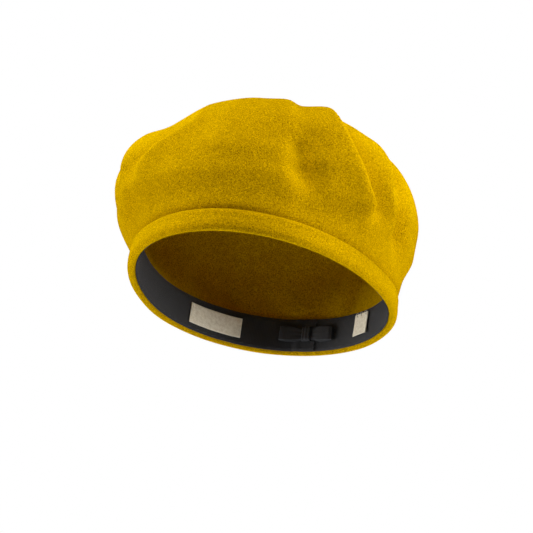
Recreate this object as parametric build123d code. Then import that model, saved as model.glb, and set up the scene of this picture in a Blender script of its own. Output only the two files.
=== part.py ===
"""A blocked felt beret, standing level on its rim.

The origin is the centre of the head opening, in the plane of the rim's lower edge. +Z points up through the
crown, -Y is the wearer's front and +X the wearer's left. All sizes are in millimetres.
"""

import math
import os

from build123d import *

# Head opening: the oval inside the head ribbon, about 57 cm round, widest behind its middle.
HEAD_HALF_WIDTH = 83.0
HEAD_LENGTH = 196.4
WIDEST_Y = 12.0
# Felt: one thickness, turned in and doubled round the rim.
FELT = 2.5
HEM_HEIGHT = 15.0
RIM_ROUND = 2.2
HEM_ROUND = 0.6
GROOVE_DEPTH = 0.9
# Crown: half-widths and heights of its outline, from above the sewing line to the top.
CROWN_OUTLINE = [(91.5, 27), (100.4, 44), (104.6, 64), (100.6, 84), (86.5, 104), (68, 116)]
CROWN_TOP = 128.0
CROWN_HALF_WIDTH = 104.6
CROWN_FRONT = 122.4
CROWN_BACK = 97.3
CROWN_LEAN = -5.5
LEAN_RISE = 40.0
CROWN_RINGS = 26
# Head ribbon.
RIBBON = 0.8
RIBBON_LOW = 2.0
RIBBON_WIDTH = 25.0
RIBBON_LAP = 12.0
SEWN_GAP = 0.1
# Thread.
THREAD_RADIUS = 0.25
THREAD_BITE = 0.08
# Flat bow over the ribbon's lap.
BOW_LOOP = 21.0
BOW_WIDTH = 11.0
BOW_PINCH = 8.0
BOW_RIBBON = 0.6
BOW_HOLLOW = 1.2
KNOT_WIDTH = 7.0
KNOT_ROOM = 9.4
# Blank label.
LABEL_LENGTH = 42.0
LABEL_HEIGHT = 15.0
LABEL_THICKNESS = 0.45
LABEL_TURN = 48.0
# Size tab, which flips on the thread loops along its round top edge.
TAB_WIDTH = 14.0
TAB_LENGTH = 16.0
TAB_THICKNESS = 0.8
TAB_TURN = -33.0
TAB_DROP = 3.0
TAB_STANDOFF = 1.3
SLOT_PITCH = 4.6
SLOT_WIDTH = 1.2
SLOT_HEIGHT = 1.5
LOOP_RADIUS = 1.12

HEAD_FRONT = HEAD_LENGTH / 2 + WIDEST_Y
HEAD_BACK = HEAD_LENGTH / 2 - WIDEST_Y
HEM_INSIDE = RIBBON + SEWN_GAP
BAND_OUTSIDE = HEM_INSIDE + 2 * FELT
RIBBON_TOP = RIBBON_LOW + RIBBON_WIDTH
RIBBON_MIDDLE = RIBBON_LOW + RIBBON_WIDTH / 2
BOW_BACK = RIBBON + SEWN_GAP
BOW_FRONT = BOW_BACK + 2 * BOW_RIBBON + BOW_HOLLOW
THREAD_STANDOFF = THREAD_RADIUS - THREAD_BITE
FAR = 24.0


def save(name, shape):
    """Writes one sub-part."""
    shape.label = name
    export_step(shape, f"parts/{name}.step")


def egg(half_width, front, back, height, lean=0.0):
    """A level closed line of two half ovals, which meet at its widest place."""
    plane = Plane((lean, WIDEST_Y, height))
    back_half = Edge.make_ellipse(half_width, back, plane, 0, 180)
    front_half = Edge.make_ellipse(half_width, front, plane, 180, 360)
    return Wire([back_half, front_half])


def head_line(outside, height):
    """The head oval made larger all round by a distance, at a height."""
    return egg(HEAD_HALF_WIDTH + outside, HEAD_FRONT + outside, HEAD_BACK + outside, height)


def head_ring(outside, inside, low, high):
    """An upright ring that follows the head oval, between two distances outside it."""
    level = Face(head_line(outside, low)) - Face(head_line(inside, low))
    return extrude(level, high - low)


def wall_plane(turn, height, inset=0.0):
    """A plane on the head oval, turned by so many degrees from the centre back towards the wearer's right.

    Its Z points into the head, its Y up and its X along the wall.
    """
    angle = math.radians(90 + turn)
    point = Vector(HEAD_HALF_WIDTH * math.cos(angle), WIDEST_Y + HEAD_BACK * math.sin(angle), height)
    inward = Vector(-math.cos(angle) / HEAD_HALF_WIDTH, -math.sin(angle) / HEAD_BACK, 0).normalized()
    return Plane(origin=point + inward * inset, x_dir=Vector(0, 0, 1).cross(inward), z_dir=inward)


def stitch(length):
    """A short run of thread along X, with round ends."""
    straight = Rot(0, 90, 0) * Cylinder(THREAD_RADIUS, length)
    ends = [Pos(x, 0, 0) * Sphere(THREAD_RADIUS) for x in (-length / 2, length / 2)]
    return straight + ends


def stitches_round(outside, height, pitch, length, slant=0.0):
    """Stitches spaced evenly round the head oval, each lying along it or slanted from it."""
    line = head_line(outside, height)
    count = round(line.length / pitch)
    placed = []
    for index in range(count):
        along = line.tangent_at(index / count)
        across = Vector(0, 0, 1).cross(along)
        plane = Plane(origin=line.position_at(index / count), x_dir=along, z_dir=across)
        placed.append(plane.location * Rot(0, 0, slant) * stitch(length))
    return placed


def on_outside(edge):
    """Whether an edge of the band runs round its outer face."""
    return edge.bounding_box().max.X > HEAD_HALF_WIDTH + FELT


def felt_band():
    """The rim: the felt's edge turned in and doubled, round where it folds."""
    band = head_ring(BAND_OUTSIDE, HEM_INSIDE, 0, HEM_HEIGHT)
    around = [edge for edge in band.edges() if edge.length > HEAD_LENGTH]
    outer_top = [edge for edge in around if edge.position_at(0).Z > RIM_ROUND and on_outside(edge)]
    band = fillet(outer_top, HEM_ROUND)
    fold = [edge for edge in band.edges() if edge.length > HEAD_LENGTH and edge.position_at(0).Z < RIM_ROUND]
    return fillet(fold, RIM_ROUND)


def crown_shell(inset, low):
    """The solid inside the crown's outer face, or inside the same face moved in by a distance.

    Its rings follow the head oval at the sewing line and turn rounder, and lean to one side, as they rise.
    """
    band = BAND_OUTSIDE - GROOVE_DEPTH
    foot = HEAD_HALF_WIDTH + band
    outline = Spline(
        (foot, HEM_HEIGHT),
        *CROWN_OUTLINE,
        (0, CROWN_TOP),
        tangents=[(0.35, 1), (-1, 0)],
        tangent_scalars=(1, 1),
    )
    rings = []
    for index in range(CROWN_RINGS):
        place = outline @ (index / CROWN_RINGS)
        along = outline % (index / CROWN_RINGS)
        half_width = place.X - along.Y * inset
        height = place.Y + along.X * inset if index else low
        rise = min(1, max(0, (height - HEM_HEIGHT) / LEAN_RISE))
        share = rise * rise * (3 - 2 * rise)
        front = (1 - share) * (HEAD_FRONT + band) / foot + share * CROWN_FRONT / CROWN_HALF_WIDTH
        back = (1 - share) * (HEAD_BACK + band) / foot + share * CROWN_BACK / CROWN_HALF_WIDTH
        rings.append(egg(half_width, half_width * front, half_width * back, height, CROWN_LEAN * share))
    return Solid.make_loft(rings)


def felt_crown():
    """One piece of felt: the crown, with its edge turned in and doubled round the rim."""
    return crown_shell(0, HEM_HEIGHT) - crown_shell(FELT, HEM_HEIGHT - 1) + felt_band()


def hem_thread():
    """Prick stitches down in the sewing line, which hold the turned hem."""
    return Compound(children=stitches_round(BAND_OUTSIDE - GROOVE_DEPTH + 0.15, HEM_HEIGHT + 0.15, 6.0, 1.1))


def head_ribbon():
    """The ribbon inside the rim, with one end lapped over the other at the centre back."""
    ring = head_ring(RIBBON, 0, RIBBON_LOW, RIBBON_TOP)
    window = wall_plane(0, RIBBON_MIDDLE).location * Box(RIBBON_LAP, RIBBON_WIDTH, FAR)
    return ring + (head_ring(0, -RIBBON, RIBBON_LOW, RIBBON_TOP) & window)


def ribbon_thread():
    """The row of slanted stitches along the ribbon's lower edge, which steps over the lap."""
    height = RIBBON_LOW + 1.8
    length = 2.8
    slant = 18
    clear = RIBBON_LAP / 2 + length
    row = stitches_round(-THREAD_STANDOFF, height, 7.0, length, slant)
    kept = [one for one in row if not (one.center().Y > 0 and abs(one.center().X) < clear)]
    plane = wall_plane(0, height, RIBBON + THREAD_STANDOFF)
    kept += [plane.location * Pos(x, 0, 0) * Rot(0, 0, slant) * stitch(length) for x in (-3, 3)]
    return Compound(children=kept)


def seam_thread():
    """Slip stitches up the lap's folded end, above and below the bow."""
    pitch = 3.2
    length = 1.5
    plane = wall_plane(0, RIBBON_MIDDLE, RIBBON - THREAD_BITE)
    placed = []
    for row in range(-3, 4):
        if abs(row * pitch) > BOW_WIDTH / 2:
            where = Pos(RIBBON_LAP / 2, row * pitch, 0)
            placed.append(plane.location * where * Rot(0, 30, 25) * stitch(length))
    return Compound(children=placed)


def bow_outline(side):
    """One loop of the bow, drawn flat: narrow at the knot and full at its round end."""
    pinch = BOW_PINCH / 2
    half = BOW_WIDTH / 2
    corner = (BOW_LOOP, half * 0.55)
    with BuildSketch() as sketch:
        with BuildLine():
            Spline((0, pinch), (BOW_LOOP * 0.55, half), corner, tangents=[(1, 0), (0.25, -1)])
            Line(corner, (corner[0], 0))
            Line((corner[0], 0), (0, 0))
            Line((0, 0), (0, pinch))
        make_face()
        mirror(about=Plane.XZ)
    return sketch.sketch if side > 0 else mirror(sketch.sketch, Plane.YZ)


def bow_loops():
    """The bow's ribbon: two flat loops, open inside at top and bottom, that bend with the head oval."""
    plane = wall_plane(0, RIBBON_MIDDLE)
    whole = head_ring(-BOW_BACK, -BOW_FRONT, 0, 2 * RIBBON_TOP)
    hollow = head_ring(-BOW_BACK - BOW_RIBBON, -BOW_FRONT + BOW_RIBBON, 0, 2 * RIBBON_TOP)
    start = KNOT_WIDTH / 2 + BOW_RIBBON
    open_length = BOW_LOOP - BOW_RIBBON - start
    loops = []
    for side in (-1, 1):
        shape = plane * extrude(bow_outline(side), FAR / 2, both=True)
        inside = Pos(side * (start + open_length / 2), 0, 0) * Box(open_length, BOW_WIDTH + 2, FAR)
        loops.append((whole & shape) - (hollow & plane.location * inside))
    return loops[0] + loops[1]


def bow_knot():
    """The strap wrapped round the bow's pinched middle."""
    middle = wall_plane(0, RIBBON_MIDDLE).location
    front = BOW_FRONT + SEWN_GAP
    window = middle * Box(KNOT_WIDTH, KNOT_ROOM + 2 * BOW_RIBBON, FAR)
    strap = head_ring(-BOW_BACK, -front - BOW_RIBBON, 0, 2 * RIBBON_TOP) & window
    room = middle * Box(KNOT_WIDTH + 1, KNOT_ROOM, FAR)
    return strap - (head_ring(0, -front, 0, 2 * RIBBON_TOP) & room)


def bow_thread():
    """A tacking stitch through the end of each loop."""
    placed = []
    for side in (-1, 1):
        turn = math.degrees(side * (BOW_LOOP - 2.5) / HEAD_HALF_WIDTH)
        plane = wall_plane(turn, RIBBON_MIDDLE, BOW_FRONT + THREAD_STANDOFF)
        placed.append(plane.location * Rot(0, 0, 90) * stitch(2.0))
    return Compound(children=placed)


def maker_label():
    """A blank woven label, laid on the ribbon and bent with it."""
    window = wall_plane(LABEL_TURN, RIBBON_MIDDLE).location * Box(LABEL_LENGTH, LABEL_HEIGHT, FAR)
    return head_ring(-SEWN_GAP, -SEWN_GAP - LABEL_THICKNESS, 0, RIBBON_TOP) & window


def label_thread():
    """Upright stitches down both short ends of the label."""
    pitch = 3.4
    placed = []
    for side in (-1, 1):
        turn = LABEL_TURN + math.degrees(side * (LABEL_LENGTH / 2 - 1.4) / HEAD_HALF_WIDTH)
        plane = wall_plane(turn, RIBBON_MIDDLE, SEWN_GAP + LABEL_THICKNESS + THREAD_STANDOFF)
        for row in (-1.5, -0.5, 0.5, 1.5):
            placed.append(plane.location * Pos(0, row * pitch, 0) * Rot(0, 0, 90) * stitch(1.8))
    return Compound(children=placed)


def tab_plane():
    """The hinge line along the size tab's top edge: its X runs along the wall and its Z into the head."""
    return wall_plane(TAB_TURN, RIBBON_TOP - TAB_DROP, TAB_STANDOFF)


def slot_places():
    """The three places along the tab's top edge where the thread goes through."""
    return [-SLOT_PITCH, 0, SLOT_PITCH]


def size_tab():
    """A blank folded tape, with a round top edge to hang from and three slots under it for the thread."""
    bar = TAB_THICKNESS / 2
    tape = Pos(0, -TAB_LENGTH / 2, 0) * Box(TAB_WIDTH, TAB_LENGTH, TAB_THICKNESS)
    tape += Rot(0, 90, 0) * Cylinder(bar, TAB_WIDTH)
    for x in slot_places():
        tape -= Pos(x, -bar - SLOT_HEIGHT / 2, 0) * Box(SLOT_WIDTH, SLOT_HEIGHT, 2 * TAB_THICKNESS)
    return tab_plane().location * tape


def tab_thread():
    """Thread loops round the tab's top edge, which bite into the ribbon behind it."""
    loop = Rot(0, 90, 0) * Torus(LOOP_RADIUS, THREAD_RADIUS)
    return Compound(children=[tab_plane().location * Pos(x, 0, 0) * loop for x in slot_places()])


os.makedirs("parts", exist_ok=True)
for maker in (
    felt_crown,
    hem_thread,
    head_ribbon,
    ribbon_thread,
    seam_thread,
    bow_loops,
    bow_knot,
    bow_thread,
    maker_label,
    label_thread,
    size_tab,
    tab_thread,
):
    save(maker.__name__, maker())
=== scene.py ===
"""A mustard felt beret with a black head ribbon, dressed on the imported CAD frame. Sizes are in metres."""

import math

import bpy
import numpy as np
from mathutils import Matrix, Vector


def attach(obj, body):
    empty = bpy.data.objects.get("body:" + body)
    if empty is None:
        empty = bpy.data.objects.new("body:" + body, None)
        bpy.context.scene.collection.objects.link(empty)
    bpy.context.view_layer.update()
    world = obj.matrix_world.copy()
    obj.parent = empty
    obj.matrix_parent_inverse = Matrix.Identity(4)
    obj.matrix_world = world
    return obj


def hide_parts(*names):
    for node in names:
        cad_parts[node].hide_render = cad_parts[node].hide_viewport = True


MM = 0.001

# The head oval, the felt and its band, as the CAD has them.
HEAD_HALF_WIDTH = 83.0 * MM
HEAD_FRONT = 110.2 * MM
HEAD_BACK = 86.2 * MM
WIDEST_Y = 12.0 * MM
FELT = 2.5 * MM
HEM_HEIGHT = 15.0 * MM
HEM_INSIDE = 0.9 * MM
BAND_OUTSIDE = 5.9 * MM
GROOVE_DEPTH = 0.9 * MM
# The crown's outline as (half width, height), and its widest reaches to each side, all in millimetres.
CROWN_OUTLINE = [
    (88.0, 15),
    (91.5, 27),
    (100.4, 44),
    (104.6, 64),
    (100.6, 84),
    (86.5, 104),
    (68, 116),
    (0, 128),
]
CROWN_HALF_WIDTH = 104.6
CROWN_FRONT = 122.4
CROWN_BACK = 97.3
# The crown leans to the wearer's right as it rises from its foot.
CROWN_LEAN = -5.5 * MM
LEAN_RISE = 40.0 * MM
# The heights over which the felt's movements fade out, so that the crown's top stays smooth.
TOP_FADE = (112.0 * MM, 126.0 * MM)
# The sewing line draws the crown's foot in, most of all at one place, and a little more at each stitch.
PULL_MEAN = 1.1 * MM
PULL_SWING = 0.4 * MM
PULL_PLACE = math.radians(290)
PULL_FADE = 5.0 * MM
HEM_STITCHES = 101
STITCH_PULL = 0.35 * MM
STITCH_FADE = 2.2 * MM
# How uneven a hand leaves the crown and the band.
CROWN_WAVE = 0.7 * MM
BAND_WAVE = 0.18 * MM
# Over how many millimetres of height a fold sets in at its low end and dies out at its high one.
FOLD_IN = 18
FOLD_OUT = 16

# The ribbon and what is sewn to it.
RIBBON = 0.8 * MM
RIBBON_LOW = 2.0 * MM
RIBBON_WIDTH = 25.0 * MM
RIBBON_TOP = RIBBON_LOW + RIBBON_WIDTH
RIBBON_MIDDLE = RIBBON_LOW + RIBBON_WIDTH / 2
RIBBON_LAP = 12.0 * MM
RIBBON_STITCH_PITCH = 7.0 * MM
RIB_PITCH = 1.1 * MM
WARP_PITCH = 0.34 * MM
BOW_LOOP = 21.0 * MM
BOW_LOOP_RIBBON = 44.0 * MM
KNOT_WIDTH = 7.0 * MM
# The label and the size tab sit at turns from the centre back, in degrees.
LABEL_TURN = 48.0
LABEL_LENGTH = 42.0 * MM
LABEL_HEIGHT = 15.0 * MM
TAB_TURN = -33.0
TAB_WIDTH = 14.0 * MM
TAB_LENGTH = 16.0 * MM
TAB_DROP = 3.0 * MM
TAB_STANDOFF = 1.3 * MM
# The thread goes through the tab in three slots, each between two levels below the hinge line.
SLOT_PITCH = 4.6 * MM
SLOT_HALF_WIDTH = 0.55 * MM
SLOT_TOP = -0.45 * MM
SLOT_BOTTOM = -1.9 * MM
LOOP_RADIUS = 1.12 * MM

# The radii of the threads. Each is two plies twisted round each other, measured in the thread's own radius.
THREAD = 0.25 * MM
FINE_THREAD = 0.20 * MM
PLY_OFFSET = 0.45
PLY_RADIUS = 0.58
PLY_TWIST = 4.4
# How deep a stitch dives into the cloth at its ends.
STITCH_DIVE = 0.4 * MM

# The camera stands round the hat and below it, a little rolled.
CAMERA_AZIMUTH = 23.3
CAMERA_ELEVATION = -23.1
CAMERA_ROLL = 8.1
CAMERA_DISTANCE = 1.3
CAMERA_LENS = 130.8
CAMERA_SHIFT = (0.015, 0.058)
# The lights stand round the hat's middle height, and the floor lies far below it.
HAT_MIDDLE = 60.0 * MM
FLOOR_HEIGHT = -1.4
FLOOR_REACH = 40.0

# How finely the felt, the bow's loops and the threads are cut.
COLUMNS = 400
CROWN_ROWS = 112
BAND_ROWS = 46
LINING_ROWS = 56
LOOP_ROWS = 110
STITCH_SAMPLES = 9
PLY_SIDES = 6


# ---- shape helpers


def length_along(points):
    """How far along a line each of its points is."""
    return np.concatenate([[0], np.cumsum(np.linalg.norm(np.diff(points, axis=0), axis=1))])


def smooth_path(points, first, last, count, crowd=1.0):
    """Samples of a smooth line through points, with its two end directions, crowded towards its start."""
    points = np.array(points, float)
    chord = length_along(points)
    slope = np.gradient(points, chord, axis=0)
    slope[0] = np.array(first) / np.linalg.norm(first)
    slope[-1] = np.array(last) / np.linalg.norm(last)
    place = chord[-1] * np.linspace(0, 1, count) ** crowd
    index = np.clip(np.searchsorted(chord, place, side="right") - 1, 0, len(chord) - 2)
    span = (chord[index + 1] - chord[index])[:, None]
    t = (place[:, None] - chord[index][:, None]) / span
    start = points[index] * (2 * t**3 - 3 * t**2 + 1) + slope[index] * span * (t**3 - 2 * t**2 + t)
    end = points[index + 1] * (3 * t**2 - 2 * t**3) + slope[index + 1] * span * (t**3 - t**2)
    return start + end


def soft_step(value, low, high):
    """0 below low, 1 above high and a smooth rise between."""
    t = np.clip((value - low) / (high - low), 0, 1)
    return t * t * (3 - 2 * t)


def grid_normals(points):
    """Unit normals of a grid of points [row, column] that is closed round its columns."""
    along = np.roll(points, -1, axis=1) - np.roll(points, 1, axis=1)
    up = np.gradient(points, axis=0)
    normal = np.cross(along, up)
    return normal / np.maximum(np.linalg.norm(normal, axis=2, keepdims=True), 1e-12)


def head_wall(turn, height, outside):
    """Points a distance outside the head oval, turned in degrees from the centre back to the right."""
    angle = np.radians(90 + np.asarray(turn, float))
    back = np.sin(angle) > 0
    length = np.where(back, HEAD_BACK, HEAD_FRONT)
    x = (HEAD_HALF_WIDTH + outside) * np.cos(angle)
    y = WIDEST_Y + (length + outside) * np.sin(angle)
    return np.stack(np.broadcast_arrays(x, y, height), axis=-1)


# ---- felt


def fold(angle, height, line, depth, width, crisp, low, high):
    """A fold that runs up the crown along a line of (angle, height) places.

    A soft fold is a valley. A crisp one steps down on the side that its sign names, with a ridge before it.
    """
    line = np.array(line, float)
    centre = np.interp(height, line[:, 1] * MM, line[:, 0])
    away = (angle - centre + 180) % 360 - 180
    reach = np.exp(-((away / width) ** 2))
    starts = soft_step(height, low * MM, (low + FOLD_IN) * MM)
    ends = soft_step(height, (high - FOLD_OUT) * MM, high * MM)
    side = np.tanh(away / crisp) if crisp else 1
    return -depth * MM * side * reach * starts * (1 - ends)


# The dent in the front is three folds along one line, each longer than the last, so its ends fade gently.
DENT_LINE = [(309, 40), (307.5, 50), (306.5, 60), (306.5, 70), (307.5, 80), (306, 92)]

# Each fold: its line up the crown as (angle, height) places, its depth, its width, how crisp it is, and the
# heights of its two ends. A crispness of 0 is soft. Angles, widths and crispness are in degrees, and the rest
# is in millimetres. The front is at 270 degrees.
FOLDS = [
    (DENT_LINE, 2.8, 5.2, 0, 34, 78),
    (DENT_LINE, 2.8, 5.2, 0, 29, 87),
    (DENT_LINE, 2.5, 5.2, 0, 22, 96),
    ([(289.5, 58), (287, 86), (286, 100)], 0.9, 7.0, 0, 44, 120),
    ([(335, 44), (329, 62), (324.8, 76), (320.6, 92), (316.4, 108)], 6.6, 9.0, 1.5, 28, 116),
    ([(355, 36), (353.5, 52), (351.8, 69), (351.2, 80), (348.5, 96)], 6.6, 5.2, 0, 24, 118),
    ([(353, 42), (347, 52), (343.5, 61), (342.8, 71), (343.5, 82), (343.5, 98)], 3.4, 6.0, 1.2, 32, 112),
    ([(300, 96), (301, 108)], 1.8, 8.0, 3.0, 84, 126),
    ([(238, 56), (245.5, 66), (252, 74), (257, 88)], -2.6, 9.0, 2.2, 38, 112),
    ([(214, 30), (222, 36), (226, 45), (226, 58), (226, 76)], -4.4, 10.0, 1.8, 18, 106),
    ([(20, 40), (17, 62), (14, 96)], 2.2, 9.0, 3.0, 24, 116),
    ([(42, 36), (45, 66), (47, 98)], 3.6, 7.5, 0, 22, 112),
    ([(71, 42), (68, 64), (66, 92)], 2.4, 10.0, 2.6, 24, 112),
    ([(97, 40), (99, 68), (98, 96)], 4.0, 8.0, 0, 22, 108),
    ([(121, 36), (124, 60), (127, 96)], -2.4, 10.0, 2.6, 22, 114),
    ([(150, 38), (149, 66), (147, 94)], 3.4, 8.0, 0, 24, 108),
    ([(176, 34), (178, 58), (181, 94)], -2.6, 10.0, 2.4, 22, 114),
    ([(202, 40), (203, 66), (204, 96)], 2.4, 7.0, 0, 26, 108),
    ([(262, 56), (265, 78), (268, 100)], 1.2, 8.0, 0, 44, 116),
]

# Broad swellings and hollows of the crown: angle, height, rise, width and tallness, in the same units.
SWELLINGS = [
    (284, 76, -6.8, 38, 21),
    (288, 22, -1.2, 50, 7),
    (240, 99, -8.5, 30, 20),
    (12, 84, -3.0, 15, 22),
    (333, 39, 2.6, 13, 13),
    (308, 23, -1.0, 9, 7),
    (281, 36, -0.9, 26, 10),
]


def swelling(angle, height, at, level, rise, width, tall):
    """A broad rounded swelling of the crown, or a hollow where its rise is below zero."""
    across = ((angle - at + 180) % 360 - 180) / width
    up = (height - level * MM) / (tall * MM)
    return rise * MM * np.exp(-(across**2) - up**2)


def sewn_pull(angle):
    """How far the sewing line draws the crown's foot in behind the band, most of all near the front."""
    return PULL_MEAN + PULL_SWING * np.cos(angle - PULL_PLACE)


def crown_face():
    """The crown's outer face as [row, column] points, from the sewing line up to the top, with its folds."""
    outline = smooth_path(CROWN_OUTLINE, (0.35, 1), (-1, 0), CROWN_ROWS, 1.25) * MM
    angle = np.linspace(0, 2 * math.pi, COLUMNS, endpoint=False)
    width, height = outline[:-1, :1], outline[:-1, 1:]
    share = soft_step(height, HEM_HEIGHT, HEM_HEIGHT + LEAN_RISE)
    foot = CROWN_OUTLINE[0][0] * MM
    band = BAND_OUTSIDE - GROOVE_DEPTH
    front = (1 - share) * (HEAD_FRONT + band) / foot + share * CROWN_FRONT / CROWN_HALF_WIDTH
    back = (1 - share) * (HEAD_BACK + band) / foot + share * CROWN_BACK / CROWN_HALF_WIDTH
    ratio = np.where(np.sin(angle) < 0, front, back)
    x = CROWN_LEAN * share + width * np.cos(angle)
    y = WIDEST_Y + width * ratio * np.sin(angle)
    smooth = np.stack([x, y, height + 0 * angle], axis=2)
    degrees = np.degrees(angle)
    move = sum(fold(degrees, height, *one) for one in FOLDS)
    # Slow unevenness, as in any felt that a hand has shaped.
    uneven = (
        np.sin(3 * angle + 55 * height)
        + 0.6 * np.sin(5 * angle - 80 * height + 1.3)
        + 0.4 * np.sin(11 * angle + 120 * height + 2.1)
    )
    move = move + CROWN_WAVE * soft_step(height, 20 * MM, 60 * MM) * uneven
    move = move + sum(swelling(degrees, height, *one) for one in SWELLINGS)
    move = move - sewn_pull(angle) * np.exp((HEM_HEIGHT - height) / PULL_FADE)
    move = move * (1 - soft_step(height, *TOP_FADE))
    return smooth + grid_normals(smooth) * move[..., None]


def stitch_dimples(angle):
    """How far the stitches draw the band's top edge in round the hat: deepest at each stitch."""
    return STITCH_PULL * (0.5 + 0.5 * np.cos(HEM_STITCHES * angle))


def band_section():
    """The rim's section as (distance outside the head oval, height), from the groove round to the raw edge.

    Its first point only guides the curve, because the crown's foot stands in that place.
    """
    groove = (BAND_OUTSIDE - GROOVE_DEPTH) / MM
    inside = HEM_INSIDE / MM
    points = [
        (groove - 0.8, 14.9),
        (4.9, 14.7),
        (5.7, 14.0),
        (6.3, 9.0),
        (6.5, 5.0),
        (6.2, 2.4),
        (5.0, 0.6),
        (3.3, 0.05),
        (2.0, 0.5),
        (1.1, 1.9),
        (inside, 4.5),
        (inside, 9.0),
        (inside, 13.4),
        (1.25, 14.7),
        (2.0, 15.0),
    ]
    return smooth_path(points, (0.5, -1), (1, 0.1), BAND_ROWS) * MM


def felt_mesh():
    """The felt as one grid, down its outer face, round the rim and up inside, and its two top points."""
    outer = crown_face()
    angle = np.linspace(0, 2 * math.pi, COLUMNS, endpoint=False)
    turn = np.degrees(angle) - 90
    wave = BAND_WAVE * (np.sin(7 * angle) + 0.6 * np.sin(13 * angle + 1.0))
    dimples = stitch_dimples(angle)
    rim = []
    for outside, height in band_section()[1:]:
        upper = math.exp(-(((height - HEM_HEIGHT) / STITCH_FADE) ** 2)) if outside > 3 * MM else 0
        face = soft_step(outside, 3 * MM, 5 * MM)
        rim.append(head_wall(turn, height, outside + wave * face - dimples * upper))
    lining = outer - grid_normals(outer) * FELT
    lining[:, :, 2] = np.maximum(lining[:, :, 2], HEM_HEIGHT + 0.3 * MM)
    keep = np.linspace(1, len(outer) - 1, LINING_ROWS).round().astype(int)
    grid = np.concatenate([outer[::-1], rim, lining[keep]])
    top = outer[-1].mean(axis=0) + np.array([0, 0, 0.1 * MM])
    return grid, top, top - np.array([0, 0, FELT])


# ---- mesh helpers


def new_piece(name, vertices, faces, material, nodes, body="beret"):
    """A smooth mesh piece that rides on a body and stands for some CAD nodes."""
    mesh = bpy.data.meshes.new(name)
    mesh.from_pydata([tuple(v) for v in vertices], [], faces)
    mesh.validate()
    mesh.polygons.foreach_set("use_smooth", [True] * len(mesh.polygons))
    mesh.materials.append(material)
    piece = bpy.data.objects.new(name, mesh)
    bpy.context.scene.collection.objects.link(piece)
    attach(piece, body)
    if nodes:
        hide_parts(*nodes)
    return piece


def grid_faces(rows, columns, close_rows=False, close_columns=False, start=0):
    """The quads of a grid of points, row by row."""
    faces = []
    for row in range(rows if close_rows else rows - 1):
        below = start + row * columns
        above = start + (row + 1) % rows * columns
        for column in range(columns if close_columns else columns - 1):
            after = (column + 1) % columns
            faces.append((below + column, below + after, above + after, above + column))
    return faces


# ---- places on the head oval, for everything sewn inside


def arc_table():
    """Turns past a full circle both ways, and how far each is along the oval from the centre back."""
    turns = np.linspace(400, -400, 16001)
    arcs = length_along(head_wall(turns, 0, 0))
    return turns, arcs - np.interp(0, -turns, arcs)


TURNS, ARCS = arc_table()
ROUND = np.interp(360, -TURNS, ARCS)


def on_wall(arc, height, inset):
    """Points so far along the oval from the centre back (wearer's left is plus), and so far in from it."""
    turn = np.interp(arc, ARCS, TURNS)
    return head_wall(turn, height, -np.asarray(inset, float))


def arc_of(turn):
    """How far along the oval a turn from the centre back is."""
    return float(np.interp(-turn, -TURNS, ARCS))


def wall_axes(arc, height, inset):
    """A point on the wall and its directions: along the wall, up and into the head."""
    turn = math.radians(90 + float(np.interp(arc, ARCS, TURNS)))
    back = HEAD_BACK if math.sin(turn) > 0 else HEAD_FRONT
    inward = np.array([-math.cos(turn) / HEAD_HALF_WIDTH, -math.sin(turn) / back, 0])
    inward /= np.linalg.norm(inward)
    point = on_wall(arc, height, 0) + inward * inset
    return point, np.cross([0, 0, 1], inward), np.array([0, 0, 1.0]), inward


def cloth(name, middle, thickness, material, nodes, body="beret", closed=False, keep=None):
    """A closed skin of cloth round a middle surface [row, column], with holes where a cell isn't kept.

    Its UV map is in metres: along the rows, and along the columns.
    """
    rows, columns = middle.shape[:2]
    if closed:
        along = np.roll(middle, -1, axis=0) - np.roll(middle, 1, axis=0)
    else:
        along = np.gradient(middle, axis=0)
    normal = np.cross(along, np.gradient(middle, axis=1))
    normal /= np.maximum(np.linalg.norm(normal, axis=2, keepdims=True), 1e-12)
    half = normal * np.broadcast_to(thickness, (rows, columns))[..., None] / 2
    vertices = np.concatenate([(middle + half).reshape(-1, 3), (middle - half).reshape(-1, 3)])
    cells = rows if closed else rows - 1
    keep = np.ones((cells, columns - 1), bool) if keep is None else keep
    other = rows * columns
    faces = []
    for row in range(cells):
        after = (row + 1) % rows
        for column in np.flatnonzero(keep[row]):
            a, b = row * columns + column, row * columns + column + 1
            c, d = after * columns + column + 1, after * columns + column
            faces.append((a, d, c, b))
            faces.append((other + a, other + b, other + c, other + d))
            if column == 0 or not keep[row, column - 1]:
                faces.append((a, other + a, other + d, d))
            if column == columns - 2 or not keep[row, column + 1]:
                faces.append((c, other + c, other + b, b))
            if not closed and row == 0 or row > 0 and not keep[row - 1, column]:
                faces.append((b, other + b, other + a, a))
            if not closed and row == cells - 1 or row < cells - 1 and not keep[row + 1, column]:
                faces.append((d, other + d, other + c, c))
    piece = new_piece(name, vertices, faces, material, nodes, body)
    length = length_along(middle[:, columns // 2])
    width = length_along(middle[rows // 2])
    place = np.stack(np.broadcast_arrays(length[:, None], width[None, :]), axis=2).reshape(-1, 2)
    place = np.concatenate([place, place])
    loops = np.empty(len(piece.data.loops), int)
    piece.data.loops.foreach_get("vertex_index", loops)
    piece.data.uv_layers.new(name="weave").data.foreach_set("uv", place[loops].ravel())


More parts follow.
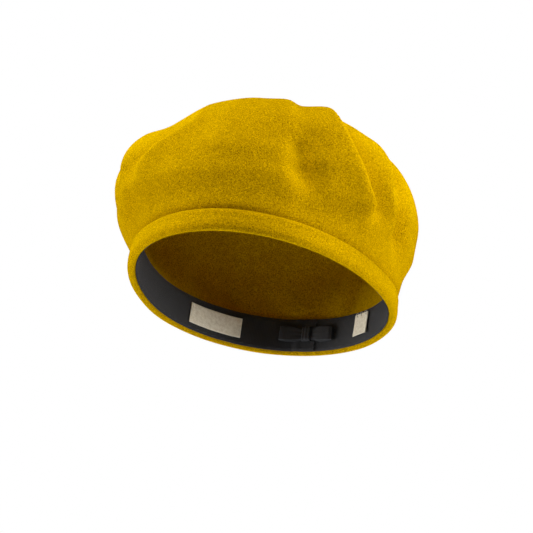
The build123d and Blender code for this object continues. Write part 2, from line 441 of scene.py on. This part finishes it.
def plied(path, radius, closed=False):
    """Vertices and faces of two plies twisted round each other along a path."""
    count = len(path)
    if closed:
        along = np.roll(path, -1, axis=0) - np.roll(path, 1, axis=0)
    else:
        along = np.gradient(path, axis=0)
    along /= np.linalg.norm(along, axis=1, keepdims=True)
    # Any direction will do that no thread runs along.
    side = np.cross(along, [0.31, 0.17, 0.93])
    side /= np.linalg.norm(side, axis=1, keepdims=True)
    over = np.cross(along, side)
    length = np.linalg.norm(np.diff(path, axis=0), axis=1).sum()
    turns = max(1, round(length / (PLY_TWIST * radius)))
    phase = np.arange(count) / (count if closed else count - 1) * turns * 2 * math.pi
    ring = np.arange(PLY_SIDES) / PLY_SIDES * 2 * math.pi
    circle = side[:, None] * np.cos(ring)[None, :, None] + over[:, None] * np.sin(ring)[None, :, None]
    vertices, faces = [], []
    for ply, twist in enumerate((phase, phase + math.pi)):
        offset = side * np.cos(twist)[:, None] + over * np.sin(twist)[:, None]
        centre = path + PLY_OFFSET * radius * offset
        section = centre[:, None] + PLY_RADIUS * radius * circle
        start = ply * count * PLY_SIDES
        vertices.append(section.reshape(-1, 3))
        faces += grid_faces(count, PLY_SIDES, close_rows=closed, close_columns=True, start=start)
        if not closed:
            end = start + (count - 1) * PLY_SIDES
            faces.append(tuple(start + i for i in reversed(range(PLY_SIDES))))
            faces.append(tuple(end + i for i in range(PLY_SIDES)))
    return np.concatenate(vertices), faces


def thread_piece(name, paths, material, closed=False, radius=THREAD):
    """One piece of all the stitches of a kind, each a short plied thread along its own path."""
    vertices, faces, start = [], [], 0
    for path in paths:
        points, quads = plied(path, radius, closed)
        vertices.append(points)
        faces += [tuple(i + start for i in quad) for quad in quads]
        start += len(points)
    new_piece(name + "_stitches", np.concatenate(vertices), faces, material, [name])


def stitch_path(axes, length, slant, lift):
    """A stitch on the wall: out of the cloth, along it at a slant in degrees, and back in."""
    point, along, up, inward = axes
    slant = math.radians(slant)
    way = math.cos(slant) * along + math.sin(slant) * up
    place = np.linspace(-1, 1, STITCH_SAMPLES)[:, None]
    return point + way * place * length / 2 + inward * (lift - STITCH_DIVE * place**6)


# ---- the sewn pieces


def head_ribbon(material):
    """The ribbed ribbon round the inside, its end lapped over its start at the centre back."""
    lap = RIBBON_LAP / 2
    count = int((ROUND + RIBBON_LAP) / RIB_PITCH * 4)
    arc = np.linspace(-lap, ROUND + lap, count)[:, None]
    across = np.linspace(-1, 1, 11)[None, :]
    rib = np.cos(2 * math.pi * arc / RIB_PITCH)
    over = soft_step(arc, ROUND - lap - 6 * MM, ROUND - lap - 0.5 * MM)
    pull = 0.5 + 0.5 * np.cos(2 * math.pi * arc / RIBBON_STITCH_PITCH)
    low_edge = np.exp(-(((across + 0.86) / 0.12) ** 2))
    wave = 0.12 * MM * np.sin(2 * math.pi * arc / (31 * MM)) * (across > 0) * across**2
    inset = -RIBBON / 2 + over * (RIBBON + 0.05 * MM) - 0.10 * MM * pull * low_edge + wave
    height = RIBBON_MIDDLE + across * (RIBBON_WIDTH / 2 - 0.1 * MM + 0.07 * MM * rib)
    middle = on_wall(arc + 0 * across, height, inset)
    thickness = (0.52 * MM + 0.16 * MM * rib) * (1 - 0.45 * across**10)
    cloth("head_ribbon_strip", middle, thickness, material, ["head_ribbon"])


# A loop's section as (distance out from the knot, distance in from the wall): out in front and back behind.
LOOP_SECTION = [
    (1.0, 2.5),
    (4.0, 2.9),
    (9.0, 3.55),
    (15.0, 3.6),
    (19.3, 3.1),
    (20.8, 2.25),
    (19.3, 1.5),
    (14.0, 1.3),
    (1.0, 1.4),
]


def bow_loops(material):
    """The bow's two loops: ribbon that puffs out from the knot, turns at its end and comes back behind."""
    section = smooth_path(LOOP_SECTION, (1, 0.1), (-1, 0.05), LOOP_ROWS) * MM
    out, inset = section[:, :1], section[:, 1:]
    across = np.linspace(-1, 1, 15)[None, :]
    widens = soft_step(out, 2 * MM, 12 * MM)
    narrows = soft_step(out, 16 * MM, 21 * MM)
    half = (4.1 + 1.4 * widens - 0.35 * narrows) * MM
    gather = 0.30 * MM * np.cos(3.2 * math.pi * across) * np.exp(-out / (5 * MM))
    droop = 0.30 * MM * (out / BOW_LOOP) ** 2
    curl = 0.25 * MM * across**2 * soft_step(out, 12 * MM, 21 * MM)
    rib = np.cos(2 * math.pi * np.linspace(0, 1, LOOP_ROWS)[:, None] * BOW_LOOP_RIBBON / RIB_PITCH)
    thickness = 0.42 * MM + 0.09 * MM * rib
    # The CAD has both loops in one node, so only the first piece names it.
    for side, name, nodes in ((-1, "right", ["bow_loops"]), (1, "left", [])):
        height = RIBBON_MIDDLE + across * half - side * droop
        middle = on_wall(side * out + 0 * across, height, np.maximum(inset + gather - curl, 1.28 * MM))
        cloth(f"bow_loop_{name}", middle, thickness, material, nodes)


def bow_knot(material):
    """The strap that wraps the bow's middle, creased along its length."""
    turn = np.linspace(0, 2 * math.pi, 72, endpoint=False)[:, None]
    across = np.linspace(-1, 1, 17)[None, :]
    squareness = 0.55
    up = np.sign(np.sin(turn)) * np.abs(np.sin(turn)) ** squareness * 5.15 * MM
    deep = 2.62 * MM - np.sign(np.cos(turn)) * np.abs(np.cos(turn)) ** squareness * 1.5 * MM
    front = soft_step(deep, 2.2 * MM, 3.6 * MM)
    crease = 0.16 * MM * np.cos(2.5 * math.pi * across + 0.5) * front
    half = KNOT_WIDTH / 2 * (1 - 0.10 * front) * across
    bow_out = 0.35 * MM * (1 - across**2) * front
    middle = on_wall(half + 0 * turn, RIBBON_MIDDLE + up + 0 * across, deep + crease + bow_out)
    cloth("bow_knot_strap", middle, 0.45 * MM, material, ["bow_knot"], closed=True)


def maker_label(material):
    """The blank woven label, its ends folded under, a little slack between its sewn ends."""
    along = np.linspace(-1, 1, 141)[:, None]
    across = np.linspace(-1, 1, 41)[None, :]
    ends = soft_step(np.abs(along), 0.84, 0.87)
    slack = 0.30 * MM * (1 - np.abs(along) ** 3) * (1 - 0.4 * across**2)
    ripple = 0.06 * MM * np.sin(9 * along + 1.5 * across) * (1 - along**2)
    thickness = (0.32 * MM + 0.30 * MM * ends) * (1 - 0.35 * np.abs(across) ** 14)
    inset = 0.12 * MM + thickness / 2 + slack + ripple
    arc = arc_of(LABEL_TURN) + along * LABEL_LENGTH / 2
    height = RIBBON_MIDDLE + across * LABEL_HEIGHT / 2 * (1 - 0.010 * along**2)
    middle = on_wall(arc + 0 * across, height, inset)
    cloth("maker_label_tape", middle, thickness, material, ["maker_label"])


def tab_axes():
    """The size tab's hinge line: a point, and the directions along it, up and into the head."""
    return wall_axes(arc_of(TAB_TURN), RIBBON_TOP - TAB_DROP, TAB_STANDOFF)


def size_tab(material):
    """The blank size tab: tape folded over at its top, where the thread goes through it in three slots."""
    point, along, up, inward = tab_axes()
    gap = 0.20 * MM
    drop = np.linspace(-TAB_LENGTH, -0.3 * MM, 64)
    turn = np.linspace(0, math.pi, 11)[1:-1]
    depth = np.concatenate([drop * 0 + gap, gap * np.cos(turn), drop * 0 - gap])
    level = np.concatenate([drop, -0.3 * MM + 0.45 * MM * np.sin(turn), drop[::-1]])
    bend = 0.5 * MM * (level / TAB_LENGTH) ** 2
    across = np.linspace(-TAB_WIDTH / 2, TAB_WIDTH / 2, 57)
    middle = (
        point
        + along * across[None, :, None]
        + up * level[:, None, None]
        + inward * (depth + bend)[:, None, None]
    )
    cell_level = (level[1:] + level[:-1])[:, None] / 2
    cell_across = (across[1:] + across[:-1])[None, :] / 2
    keep = np.ones((len(level) - 1, len(across) - 1), bool)
    for place in (-SLOT_PITCH, 0, SLOT_PITCH):
        near = np.abs(cell_across - place) < SLOT_HALF_WIDTH
        keep &= ~(near & (cell_level < SLOT_TOP) & (cell_level > SLOT_BOTTOM))
    cloth("size_tab_tape", middle, 0.30 * MM, material, ["size_tab"], body="size_tab", keep=keep)


def hem_stitches(material):
    """Prick stitches down in the sewing line."""
    paths = []
    for index in range(HEM_STITCHES):
        arc = arc_of(-90) + ROUND * index / HEM_STITCHES
        angle = math.radians(90 + float(np.interp(arc, ARCS, TURNS)))
        outside = BAND_OUTSIDE - GROOVE_DEPTH - sewn_pull(angle)
        point, along, up, inward = wall_axes(arc, HEM_HEIGHT, -outside)
        paths.append(stitch_path((point, along, up, -inward), 1.5 * MM, 0, 0.30 * MM))
    thread_piece("hem_thread", paths, material, radius=FINE_THREAD)


def ribbon_stitches(material):
    """Slanted stitches along the ribbon's lower edge, stepped over its lap."""
    count = round(ROUND / RIBBON_STITCH_PITCH)
    height = RIBBON_LOW + 1.8 * MM
    clear = RIBBON_LAP / 2 + 2.8 * MM
    paths = []
    for index in range(count):
        arc = (arc_of(-90) + ROUND * index / count + ROUND / 2) % ROUND - ROUND / 2
        if abs(arc) > clear:
            paths.append(stitch_path(wall_axes(arc, height, 0), 3.2 * MM, 18, 0.06 * MM))
    for place in (-3, 3):
        paths.append(stitch_path(wall_axes(place * MM, height, RIBBON), 3.2 * MM, 18, 0.10 * MM))
    thread_piece("ribbon_thread", paths, material)


def seam_stitches(material):
    """Slip stitches up the lap's end, above and below the bow."""
    paths = []
    for row in (-3, -2, 2, 3):
        axes = wall_axes(RIBBON_LAP / 2, RIBBON_MIDDLE + row * 3.2 * MM, RIBBON / 2)
        paths.append(stitch_path(axes, 2.2 * MM, 25, 0.35 * MM))
    thread_piece("seam_thread", paths, material)


def bow_stitches(material):
    """A tack through the end of each loop of the bow."""
    paths = []
    for side in (-1, 1):
        axes = wall_axes(side * (BOW_LOOP - 2.5 * MM), RIBBON_MIDDLE, 3.45 * MM)
        paths.append(stitch_path(axes, 2.4 * MM, 90, 0.12 * MM))
    thread_piece("bow_thread", paths, material)


def label_stitches(material):
    """Upright stitches down both ends of the label."""
    paths = []
    for side in (-1, 1):
        arc = arc_of(LABEL_TURN) + side * (LABEL_LENGTH / 2 - 1.4 * MM)
        for row in (-1.5, -0.5, 0.5, 1.5):
            axes = wall_axes(arc, RIBBON_MIDDLE + row * 3.4 * MM, 0.72 * MM)
            paths.append(stitch_path(axes, 2.2 * MM, 90, 0.12 * MM))
    thread_piece("label_thread", paths, material, radius=FINE_THREAD)


def tab_loops(material):
    """The thread loops that the size tab turns on."""
    point, along, up, inward = tab_axes()
    turn = np.linspace(0, 2 * math.pi, 36, endpoint=False)[:, None]
    paths = []
    for place in (-SLOT_PITCH, 0, SLOT_PITCH):
        paths.append(point + along * place + LOOP_RADIUS * (up * np.cos(turn) + inward * np.sin(turn)))
    thread_piece("tab_thread", paths, material, closed=True)


def felt_crown(material):
    """The felt, built as one closed skin: the grid, and a fan of faces to each of its top points."""
    grid, top, under = felt_mesh()
    rows, columns = grid.shape[:2]
    vertices = np.concatenate([grid.reshape(-1, 3), [top, under]])
    faces = grid_faces(rows, columns, close_columns=True)
    last = (rows - 1) * columns
    for column in range(columns):
        after = (column + 1) % columns
        faces.append((column, rows * columns, after))
        faces.append((last + column, last + after, rows * columns + 1))
    faces = [tuple(reversed(face)) for face in faces]
    new_piece("felt_body", vertices, faces, material, ["felt_crown"])


# ---- materials


def new_material(name, roughness, specular, sheen, sheen_roughness, sheen_tint):
    """A material with its own shader, and the parts needed to wire it."""
    material = bpy.data.materials.new(name)
    material.use_nodes = True
    shader = material.node_tree.nodes["Principled BSDF"]
    shader.inputs["Roughness"].default_value = roughness
    shader.inputs["Specular IOR Level"].default_value = specular
    shader.inputs["Sheen Weight"].default_value = sheen
    shader.inputs["Sheen Roughness"].default_value = sheen_roughness
    shader.inputs["Sheen Tint"].default_value = (*sheen_tint, 1)
    return material, material.node_tree.nodes, material.node_tree.links, shader


def noise(nodes, links, place, scale, detail=3.0, roughness=0.6, distortion=0.0):
    """A noise texture over a place, at a scale in cycles a metre."""
    node = nodes.new("ShaderNodeTexNoise")
    node.inputs["Scale"].default_value = scale
    node.inputs["Detail"].default_value = detail
    node.inputs["Roughness"].default_value = roughness
    node.inputs["Distortion"].default_value = distortion
    links.new(place, node.inputs["Vector"])
    return node.outputs["Fac"]


def math_node(nodes, links, operation, *values):
    """One sum on some numbers or sockets."""
    node = nodes.new("ShaderNodeMath")
    node.operation = operation
    for socket, value in zip(node.inputs, values):
        if isinstance(value, (int, float)):
            socket.default_value = value
        else:
            links.new(value, socket)
    return node.outputs[0]


def wave_node(nodes, links, operation, place, pitch):
    """A sine or cosine of a place, with a pitch in metres."""
    return math_node(nodes, links, operation, math_node(nodes, links, "MULTIPLY", place, 2 * math.pi / pitch))


def weave_place(nodes, links):
    """A cloth's UV map in metres, and its two parts: along the cloth's rows and along its columns."""
    uv = nodes.new("ShaderNodeUVMap")
    uv.uv_map = "weave"
    split = nodes.new("ShaderNodeSeparateXYZ")
    links.new(uv.outputs["UV"], split.inputs["Vector"])
    return uv.outputs["UV"], split.outputs["X"], split.outputs["Y"]


def ramp(nodes, links, factor, stops):
    """A colour ramp through (place, colour) stops."""
    node = nodes.new("ShaderNodeValToRGB")
    band = node.color_ramp
    while len(band.elements) < len(stops):
        band.elements.new(0.5)
    for element, (place, colour) in zip(band.elements, stops):
        element.position = place
        element.color = (*colour, 1)
    links.new(factor, node.inputs["Fac"])
    return node.outputs["Color"]


def multiply_colours(nodes, links, first, second):
    """The product of two colour sockets."""
    node = nodes.new("ShaderNodeMix")
    node.data_type = "RGBA"
    node.blend_type = "MULTIPLY"
    # The node's sockets for colours share their names with others, so they go by number.
    node.inputs[0].default_value = 1.0
    links.new(first, node.inputs[6])
    links.new(second, node.inputs[7])
    return node.outputs[2]


def bump(nodes, links, shader, height, strength, distance):
    """A bump from a height socket into a shader."""
    node = nodes.new("ShaderNodeBump")
    node.inputs["Strength"].default_value = strength
    node.inputs["Distance"].default_value = distance
    links.new(height, node.inputs["Height"])
    links.new(node.outputs["Normal"], shader.inputs["Normal"])


def felt_material():
    """Mustard wool felt: a short tangled nap that catches light, flecked lighter and darker."""
    material, nodes, links, shader = new_material(
        "mustard_felt",
        roughness=0.95,
        specular=0.0,
        sheen=0.65,
        sheen_roughness=0.42,
        sheen_tint=(1.0, 0.68, 0.0),
    )
    place = nodes.new("ShaderNodeTexCoord").outputs["Object"]
    fleck = noise(nodes, links, place, 1300, detail=2.0, roughness=0.7, distortion=1.4)
    fibre = noise(nodes, links, place, 2400, detail=2.0, roughness=0.6, distortion=2.2)
    cloud = noise(nodes, links, place, 38, detail=3.0, roughness=0.55)
    fleck_share = math_node(nodes, links, "MULTIPLY", fleck, 0.62)
    both = math_node(nodes, links, "ADD", fleck_share, math_node(nodes, links, "MULTIPLY", fibre, 0.38))
    colour = ramp(
        nodes,
        links,
        both,
        [
            (0.38, (0.12, 0.057, 0.0)),
            (0.47, (0.40, 0.213, 0.0)),
            (0.54, (0.60, 0.332, 0.0)),
            (0.64, (0.96, 0.61, 0.0)),
        ],
    )
    shade = ramp(nodes, links, cloud, [(0.30, (0.90, 0.89, 0.86)), (0.70, (1.0, 1.0, 1.0))])
    # The nap is rubbed paler at the lower edge, and shade is painted in and around the sewing line, which is
    # at the ramp's middle, because its places are heights as parts of twice the hem's.
    split = nodes.new("ShaderNodeSeparateXYZ")
    links.new(place, split.inputs["Vector"])
    level = math_node(nodes, links, "MULTIPLY", split.outputs["Z"], 0.5 / HEM_HEIGHT)
    rubbed_edge_and_seam_shade = ramp(
        nodes,
        links,
        level,
        [
            (0.00, (1.0, 1.0, 1.0)),
            (0.08, (0.95, 0.95, 0.95)),
            (0.40, (0.95, 0.95, 0.95)),
            (0.47, (0.86, 0.86, 0.86)),
            (0.505, (0.62, 0.59, 0.56)),
            (0.54, (0.86, 0.85, 0.84)),
            (0.75, (0.95, 0.95, 0.95)),
        ],
    )
    tone = multiply_colours(nodes, links, multiply_colours(nodes, links, colour, shade), rubbed_edge_and_seam_shade)
    links.new(tone, shader.inputs["Base Color"])
    bump(nodes, links, shader, both, strength=0.7, distance=0.9 * MM)
    return material


def ribbon_material():
    """Black ribbed ribbon: fine warp threads over each rib, and a dull sheen."""
    material, nodes, links, shader = new_material(
        "black_grosgrain",
        roughness=0.62,
        specular=0.35,
        sheen=0.18,
        sheen_roughness=0.4,
        sheen_tint=(0.7, 0.72, 0.8),
    )
    place, along, across = weave_place(nodes, links)
    warp = wave_node(nodes, links, "SINE", across, WARP_PITCH)
    rib = wave_node(nodes, links, "COSINE", along, RIB_PITCH)
    wear = noise(nodes, links, place, 260, detail=3.0, roughness=0.6)
    height = math_node(nodes, links, "MULTIPLY_ADD", warp, 0.5, wear)
    # Painted shade: the colour is darker in the valleys between the ribs and lighter on their crests.
    rib_painted_shade = math_node(nodes, links, "MULTIPLY_ADD", rib, 0.22, 0.35)
    tone = math_node(nodes, links, "MULTIPLY_ADD", wear, 0.3, rib_painted_shade)
    colour = ramp(nodes, links, tone, [(0.15, (0.004, 0.004, 0.0045)), (0.85, (0.018, 0.018, 0.020))])
    links.new(colour, shader.inputs["Base Color"])
    bump(nodes, links, shader, height, strength=0.5, distance=0.12 * MM)
    return material


def tape_material():
    """Ivory woven tape: a fine plain weave with slubs."""
    material, nodes, links, shader = new_material(
        "ivory_tape", roughness=0.7, specular=0.3, sheen=0.3, sheen_roughness=0.4, sheen_tint=(1.0, 0.97, 0.9)
    )
    place, along, across = weave_place(nodes, links)
    weft = wave_node(nodes, links, "SINE", along, 0.60 * MM)
    warp = wave_node(nodes, links, "SINE", across, 0.50 * MM)
    weave = math_node(nodes, links, "MULTIPLY", weft, warp)
    slub = noise(nodes, links, place, 420, detail=4.0, roughness=0.65)
    tone = math_node(nodes, links, "MULTIPLY_ADD", weave, 0.30, slub)
    colour = ramp(nodes, links, tone, [(0.25, (0.60, 0.53, 0.38)), (0.75, (0.90, 0.85, 0.71))])
    links.new(colour, shader.inputs["Base Color"])
    bump(nodes, links, shader, tone, strength=0.6, distance=0.12 * MM)
    return material


def thread_material(name, dark, light):
    """Sewing thread: fine fibres, with a painted highlight that makes them lighter where they stand proud."""
    material, nodes, links, shader = new_material(
        name, roughness=0.6, specular=0.3, sheen=0.3, sheen_roughness=0.4, sheen_tint=light
    )
    place = nodes.new("ShaderNodeTexCoord").outputs["Object"]
    fibre = noise(nodes, links, place, 4200, detail=3.0, roughness=0.6)
    links.new(ramp(nodes, links, fibre, [(0.3, dark), (0.7, light)]), shader.inputs["Base Color"])
    bump(nodes, links, shader, fibre, strength=0.5, distance=0.06 * MM)
    return material


def floor_material():
    """The plain pale floor. To the camera it glows, so that it meets the white room with no edge."""
    material, nodes, links, shader = new_material(
        "pale_floor", roughness=0.9, specular=0.1, sheen=0.0, sheen_roughness=0.5, sheen_tint=(1, 1, 1)
    )
    place = nodes.new("ShaderNodeTexCoord").outputs["Object"]
    cloud = noise(nodes, links, place, 2.0, detail=2.0, roughness=0.5)
    colour = ramp(nodes, links, cloud, [(0.3, (0.77, 0.77, 0.77)), (0.7, (0.79, 0.79, 0.79))])
    links.new(colour, shader.inputs["Base Color"])
    away = nodes.new("ShaderNodeVectorMath")
    away.operation = "LENGTH"
    links.new(place, away.inputs[0])
    glow = nodes.new("ShaderNodeMapRange")
    glow.interpolation_type = "SMOOTHSTEP"
    for socket, value in zip(("From Min", "From Max", "To Min", "To Max"), (1.6, 6.0, 0.50, 0.95)):
        glow.inputs[socket].default_value = value
    links.new(away.outputs["Value"], glow.inputs["Value"])
    shader.inputs["Emission Color"].default_value = (1, 1, 1, 1)
    seen = nodes.new("ShaderNodeLightPath").outputs["Is Camera Ray"]
    strength = math_node(nodes, links, "MULTIPLY", glow.outputs["Result"], seen)
    links.new(strength, shader.inputs["Emission Strength"])
    return material


# ---- stage, light and camera


def make_floor():
    """A plain pale floor, far enough below the hat for a camera that looks up into it."""
    corners = [(-1, -1), (1, -1), (1, 1), (-1, 1)]
    vertices = [(x * FLOOR_REACH, y * FLOOR_REACH, FLOOR_HEIGHT) for x, y in corners]
    mesh = bpy.data.meshes.new("floor")
    mesh.from_pydata(vertices, [], [(0, 1, 2, 3)])
    mesh.materials.append(floor_material())
    floor = bpy.data.objects.new("floor", mesh)
    bpy.context.scene.collection.objects.link(floor)


def camera_axes():
    """The camera's right, up and backward directions, with its roll."""
    azimuth, elevation, roll = map(math.radians, (CAMERA_AZIMUTH, CAMERA_ELEVATION, CAMERA_ROLL))
    level = math.cos(elevation)
    back = Vector((math.sin(azimuth) * level, -math.cos(azimuth) * level, math.sin(elevation)))
    right = Vector((0, 0, 1)).cross(back).normalized()
    up = back.cross(right)
    rolled_right = math.cos(roll) * right + math.sin(roll) * up
    return rolled_right, back.cross(rolled_right), back


def make_camera():
    """The camera at the photograph's viewing angle."""
    right, up, back = camera_axes()
    camera = bpy.data.objects.new("camera", bpy.data.cameras.new("camera"))
    camera.data.lens = CAMERA_LENS
    camera.data.sensor_width = 36
    camera.data.shift_x, camera.data.shift_y = CAMERA_SHIFT
    camera.data.clip_end = 30
    turn = Matrix((right, up, back)).transposed().to_4x4()
    camera.matrix_world = Matrix.Translation(back * CAMERA_DISTANCE) @ turn
    bpy.context.scene.collection.objects.link(camera)
    bpy.context.scene.camera = camera


def soft_light(name, place, size, power):
    """A square soft light that points at the hat, placed from its middle by the camera's directions."""
    light = bpy.data.lights.new(name, "AREA")
    light.size = size
    light.energy = power
    lamp = bpy.data.objects.new(name, light)
    where = sum((axis * amount for axis, amount in zip(camera_axes(), place)), Vector())
    lamp.location = where + Vector((0, 0, HAT_MIDDLE))
    lamp.rotation_mode = "QUATERNION"
    lamp.rotation_quaternion = where.to_track_quat("Z", "Y")
    bpy.context.scene.collection.objects.link(lamp)


def make_light():
    """A room that the camera sees as white but that lights the hat dimly, and soft lights all round it."""
    world = bpy.data.worlds.new("studio")
    world.use_nodes = True
    nodes, links = world.node_tree.nodes, world.node_tree.links
    seen = nodes["Background"]
    seen.inputs["Color"].default_value = (1, 1, 1, 1)
    seen.inputs["Strength"].default_value = 1.0
    fill = nodes.new("ShaderNodeBackground")
    fill.inputs["Color"].default_value = (1, 1, 1, 1)
    fill.inputs["Strength"].default_value = 0.12
    either = nodes.new("ShaderNodeMixShader")
    links.new(nodes.new("ShaderNodeLightPath").outputs["Is Camera Ray"], either.inputs["Fac"])
    links.new(fill.outputs["Background"], either.inputs[1])
    links.new(seen.outputs["Background"], either.inputs[2])
    links.new(either.outputs["Shader"], nodes["World Output"].inputs["Surface"])
    bpy.context.scene.world = world
    soft_light("left_light", (-1.35, -0.18, -0.05), size=0.8, power=22)
    soft_light("right_light", (1.35, -0.26, 0.05), size=0.8, power=28)
    soft_light("top_light", (0.1, 1.40, 0.23), size=0.9, power=34)
    soft_light("low_light", (0.1, -1.3, 0.5), size=1.0, power=1.0)
    soft_light("back_light", (-0.6, 0.5, -1.5), size=1.2, power=26)
    bpy.context.scene.view_settings.view_transform = "Standard"


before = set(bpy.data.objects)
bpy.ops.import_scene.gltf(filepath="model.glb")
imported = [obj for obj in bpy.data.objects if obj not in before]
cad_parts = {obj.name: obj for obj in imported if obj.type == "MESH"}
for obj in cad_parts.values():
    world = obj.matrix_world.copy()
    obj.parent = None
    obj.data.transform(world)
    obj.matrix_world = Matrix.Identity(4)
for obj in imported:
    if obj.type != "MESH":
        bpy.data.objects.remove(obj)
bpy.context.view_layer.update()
make_camera()
make_light()
make_floor()

felt = felt_material()
ribbon = ribbon_material()
tape = tape_material()
mustard_thread = thread_material("mustard_thread", (0.34, 0.18, 0.002), (0.66, 0.40, 0.01))
black_thread = thread_material("black_thread", (0.006, 0.006, 0.007), (0.05, 0.05, 0.055))
ivory_thread = thread_material("ivory_thread", (0.46, 0.42, 0.33), (0.80, 0.77, 0.68))

felt_crown(felt)
head_ribbon(ribbon)
bow_loops(ribbon)
bow_knot(ribbon)
maker_label(tape)
size_tab(tape)
hem_stitches(mustard_thread)
ribbon_stitches(black_thread)
seam_stitches(black_thread)
bow_stitches(black_thread)
label_stitches(ivory_thread)
tab_loops(ivory_thread)
